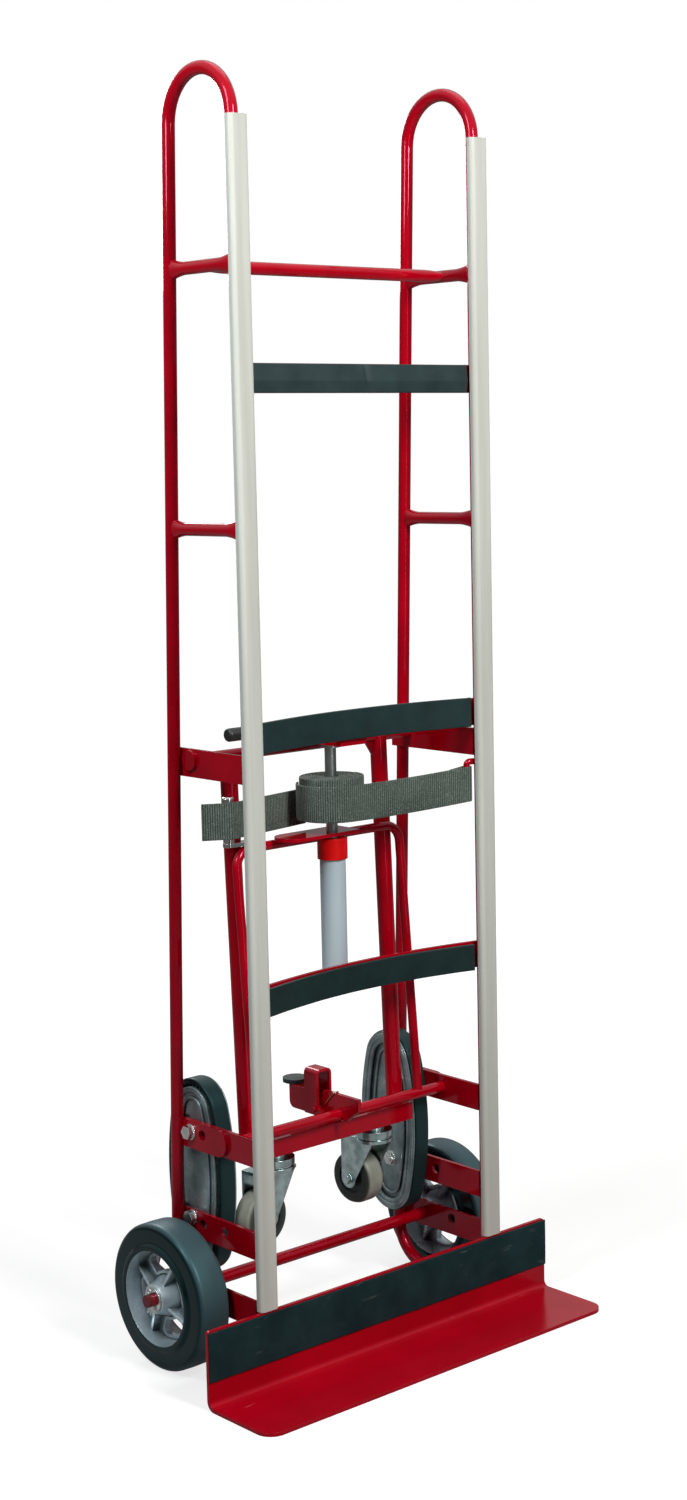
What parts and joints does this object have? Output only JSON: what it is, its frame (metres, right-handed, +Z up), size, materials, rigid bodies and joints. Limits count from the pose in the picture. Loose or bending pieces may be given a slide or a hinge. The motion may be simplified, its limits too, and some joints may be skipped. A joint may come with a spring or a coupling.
{
  "type": "tracked hand truck",
  "caption": "Tall red appliance hand truck with rubber-faced toe, ratchet strap, spoked wheels, stair crawlers behind, and a swing-down caster carriage.",
  "frame": {"origin": "middle of the outline on the floor, under the truck as it stands on its toe plate and wheels", "axes": "+Z up, -Y towards the toe (the front), +X to the right seen from the front"},
  "size_m": [0.628, 0.3786, 1.725],
  "materials": {
    "red_paint": "gloss red paint",
    "guard_plastic": "satin warm grey extrusion, lightly scuffed",
    "pad_rubber": "matte black rubber",
    "tyre_rubber": "black rubber, glossy sidewall",
    "cast_aluminium": "as-cast aluminium",
    "zinc_steel": "bright zinc plate",
    "spring_steel": "yellow zinc wire",
    "chrome_steel": "polished",
    "recoil_grey": "smooth grey tube",
    "cap_red": "orange-red cap",
    "webbing": "ribbed grey-green webbing",
    "vinyl_black": "dipped black vinyl",
    "caster_tread": "taupe-grey tread",
    "caster_core": "dark grey moulded core",
    "belt_rubber": "black lugged belt",
    "pulley_plastic": "dark moulded pulley"
  },
  "bodies": {
    "frame": {"side_tube_left": "red_paint", "side_tube_right": "red_paint", "rail_guards": "guard_plastic", "side_struts": "red_paint", "top_crossbar": "red_paint", "upper_rest_bar": "red_paint", "upper_rest_pad": "pad_rubber", "middle_rest_bar": "red_paint", "middle_rest_pad": "pad_rubber", "lower_rest_bar": "red_paint", "lower_rest_pad": "pad_rubber", "middle_arms": "red_paint", "side_bars": "red_paint", "axle": "red_paint", "axle_keepers": "zinc_steel", "toe_plate": "red_paint", "toe_pad": "pad_rubber", "lower_cross_tube": "red_paint", "latch_arm": "red_paint", "latch_spring": "spring_steel", "recoil_tube": "recoil_grey", "recoil_cap": "cap_red", "spindle_hoop": "red_paint", "strap_right": "webbing", "strap_left": "webbing", "strap_anchor": "red_paint", "guide_pin": "chrome_steel", "crawler_casting_left": "cast_aluminium", "crawler_casting_right": "cast_aluminium", "crawler_belt_left": "belt_rubber", "crawler_belt_right": "belt_rubber", "crawler_bolts": "zinc_steel"},
    "spindle": {"spindle": "zinc_steel", "ratchet_wheel": "zinc_steel", "strap_roll": "webbing"},
    "handle": {"ratchet_handle": "zinc_steel", "handle_grip": "vinyl_black"},
    "drive_pawl": {"drive_pawl": "zinc_steel"},
    "holding_pawl": {"holding_pawl": "zinc_steel"},
    "guide_roller": {"guide_roller": "chrome_steel"},
    "latch": {"latch_lever": "red_paint", "latch_pads": "pad_rubber"},
    "carriage": {"carriage_head": "red_paint", "carriage_legs": "red_paint", "caster_channel": "red_paint", "caster_heads": "zinc_steel"},
    "caster_left": {"caster_fork_left": "zinc_steel"},
    "caster_right": {"caster_fork_right": "zinc_steel"},
    "caster_wheel_left": {"caster_tyre_left": "caster_tread", "caster_hub_left": "caster_core"},
    "caster_wheel_right": {"caster_tyre_right": "caster_tread", "caster_hub_right": "caster_core"},
    "wheel_left": {"wheel_tyre_left": "tyre_rubber", "wheel_hub_left": "cast_aluminium"},
    "wheel_right": {"wheel_tyre_right": "tyre_rubber", "wheel_hub_right": "cast_aluminium"},
    "pulley_upper_left": {"crawler_pulley_upper_left": "pulley_plastic"},
    "pulley_upper_right": {"crawler_pulley_upper_right": "pulley_plastic"},
    "pulley_lower_left": {"crawler_pulley_lower_left": "pulley_plastic"},
    "pulley_lower_right": {"crawler_pulley_lower_right": "pulley_plastic"}
  },
  "joints": [
    {"name": "wheel_left_spin", "type": "hinge", "parent": "frame", "child": "wheel_left", "pos_m": [-0.2555, 0.0877, 0.1016], "axis": [1, 0, 0], "continuous": true},
    {"name": "wheel_right_spin", "type": "hinge", "parent": "frame", "child": "wheel_right", "pos_m": [0.2555, 0.0877, 0.1016], "axis": [1, 0, 0], "continuous": true},
    {"name": "carriage_swing", "type": "hinge", "parent": "frame", "child": "carriage", "pos_m": [0, 0.0797, 0.83], "axis": [1, 0, 0], "range_deg": [0, 40]},
    {"name": "caster_left_swivel", "type": "hinge", "parent": "carriage", "child": "caster_left", "pos_m": [-0.092, 0.0557, 0.251], "axis": [0, 0, 1], "continuous": true},
    {"name": "caster_right_swivel", "type": "hinge", "parent": "carriage", "child": "caster_right", "pos_m": [0.092, 0.0557, 0.251], "axis": [0, 0, 1], "continuous": true},
    {"name": "caster_left_roll", "type": "hinge", "parent": "caster_left", "child": "caster_wheel_left", "pos_m": [-0.12468, 0.05111, 0.1885], "axis": [-0.1392, 0.9903, 0], "continuous": true},
    {"name": "caster_right_roll", "type": "hinge", "parent": "caster_right", "child": "caster_wheel_right", "pos_m": [0.09027, 0.08865, 0.1885], "axis": [0.9986, 0.0523, 0], "continuous": true},
    {"name": "latch_pivot", "type": "hinge", "parent": "frame", "child": "latch", "pos_m": [0, 0.0617, 0.315], "axis": [1, 0, 0], "range_deg": [-12, 15], "stiffness_Nm_per_rad": 1.2, "springref_deg": 4.58},
    {"name": "spindle_turn", "type": "hinge", "parent": "frame", "child": "spindle", "pos_m": [0, 0.0262, 0.78], "axis": [0, 0, 1], "continuous": true},
    {"name": "handle_swing", "type": "hinge", "parent": "frame", "child": "handle", "pos_m": [0, 0.0262, 0.862], "axis": [0, 0, -1], "range_deg": [0, 120]},
    {"name": "drive_pawl_tilt", "type": "hinge", "parent": "handle", "child": "drive_pawl", "pos_m": [-0.036, 0.0262, 0.848], "axis": [0, 0, 1], "range_deg": [-12, 15]},
    {"name": "holding_pawl_tilt", "type": "hinge", "parent": "frame", "child": "holding_pawl", "pos_m": [0.018, -0.00498, 0.848], "axis": [0, 0, 1], "range_deg": [-12, 15]},
    {"name": "guide_roller_spin", "type": "hinge", "parent": "frame", "child": "guide_roller", "pos_m": [-0.16, 0.0537, 0.745], "axis": [0, 0, 1], "continuous": true},
    {"name": "pulley_upper_left_spin", "type": "hinge", "parent": "frame", "child": "pulley_upper_left", "pos_m": [-0.1815, 0.1072, 0.3395], "axis": [1, 0, 0], "continuous": true},
    {"name": "pulley_upper_right_spin", "type": "hinge", "parent": "frame", "child": "pulley_upper_right", "pos_m": [0.1815, 0.1072, 0.3395], "axis": [1, 0, 0], "continuous": true},
    {"name": "pulley_lower_left_spin", "type": "hinge", "parent": "frame", "child": "pulley_lower_left", "pos_m": [-0.1815, 0.1072, 0.1605], "axis": [1, 0, 0], "continuous": true},
    {"name": "pulley_lower_right_spin", "type": "hinge", "parent": "frame", "child": "pulley_lower_right", "pos_m": [0.1815, 0.1072, 0.1605], "axis": [1, 0, 0], "continuous": true}
  ],
  "couplings": [
    {"joint": "pulley_lower_left_spin", "follows": "pulley_upper_left_spin", "ratio": 1},
    {"joint": "pulley_lower_right_spin", "follows": "pulley_upper_right_spin", "ratio": 1}
  ]
}
